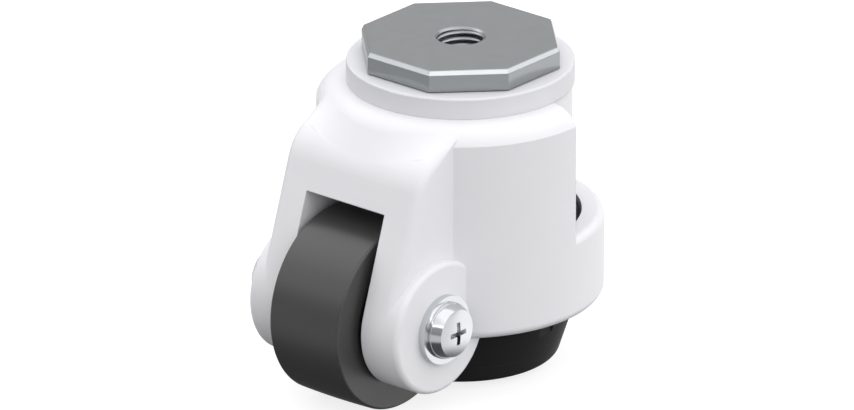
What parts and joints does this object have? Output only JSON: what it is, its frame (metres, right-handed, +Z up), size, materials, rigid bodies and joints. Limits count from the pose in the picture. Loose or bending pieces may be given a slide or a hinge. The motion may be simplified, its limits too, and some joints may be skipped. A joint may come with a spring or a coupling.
{
  "type": "levelling castor",
  "caption": "Levelling castor: swivelling white housing with a wheel, an octagonal threaded head and a foot that is lowered by a spindle.",
  "frame": {"origin": "centre of the mouth of the fixing thread, in the head's flat top face, on the swivel axis", "axes": "+Z up along the swivel axis and out of the fixing thread; X along the wheel's axle, towards the screw head at +X; the wheel stands towards -Y and the spanner window opens towards +Y"},
  "size_m": [0.0736, 0.0986, 0.0874],
  "materials": {
    "zinc_steel": "satin",
    "bright_steel": "polished",
    "white_nylon": "matte",
    "wheel_nylon": "satin",
    "foot_nylon": "matte",
    "foot_rubber": "matte",
    "bearing_steel": "satin",
    "bronze": "satin"
  },
  "bodies": {
    "head": {"swivel_head": "zinc_steel", "upper_race": "bearing_steel", "ball_cage": "bronze", "king_washer": "zinc_steel", "king_nut": "zinc_steel", "swivel_ball_01": "bearing_steel", "swivel_ball_02": "bearing_steel", "swivel_ball_03": "bearing_steel", "swivel_ball_04": "bearing_steel", "swivel_ball_05": "bearing_steel", "swivel_ball_06": "bearing_steel", "swivel_ball_07": "bearing_steel", "swivel_ball_08": "bearing_steel", "swivel_ball_09": "bearing_steel", "swivel_ball_10": "bearing_steel", "swivel_ball_11": "bearing_steel", "swivel_ball_12": "bearing_steel"},
    "housing": {"housing": "white_nylon", "cover_ring": "white_nylon", "lower_race": "bearing_steel", "seal_ring": "foot_rubber", "king_bush": "bronze", "spindle_bush": "bronze", "thrust_washer": "zinc_steel", "axle_sleeve": "zinc_steel", "axle_screw": "bright_steel", "axle_washer_right": "bright_steel", "axle_washer_left": "bright_steel", "axle_nut": "bright_steel"},
    "wheel": {"wheel": "wheel_nylon", "wheel_bush_right": "bronze", "wheel_bush_left": "bronze"},
    "adjuster": {"spindle": "zinc_steel", "circlip": "bearing_steel"},
    "foot": {"foot_body": "foot_nylon", "foot_insert": "bronze", "foot_sole": "foot_rubber"}
  },
  "joints": [
    {"name": "swivel", "type": "hinge", "parent": "head", "child": "housing", "pos_m": [0, 0, -0.014], "axis": [0, 0, 1], "continuous": true},
    {"name": "wheel_spin", "type": "hinge", "parent": "housing", "child": "wheel", "pos_m": [0, -0.0368, -0.0624], "axis": [1, 0, 0], "continuous": true},
    {"name": "spindle_turn", "type": "hinge", "parent": "housing", "child": "adjuster", "pos_m": [0, 0, -0.041], "axis": [0, 0, 1], "range_deg": [0, 2160]},
    {"name": "foot_lift", "type": "slide", "parent": "housing", "child": "foot", "axis": [0, 0, -1], "range_m": [0, 0.012]}
  ],
  "couplings": [
    {"joint": "foot_lift", "follows": "spindle_turn", "m_per_rad": 0.00031831}
  ]
}
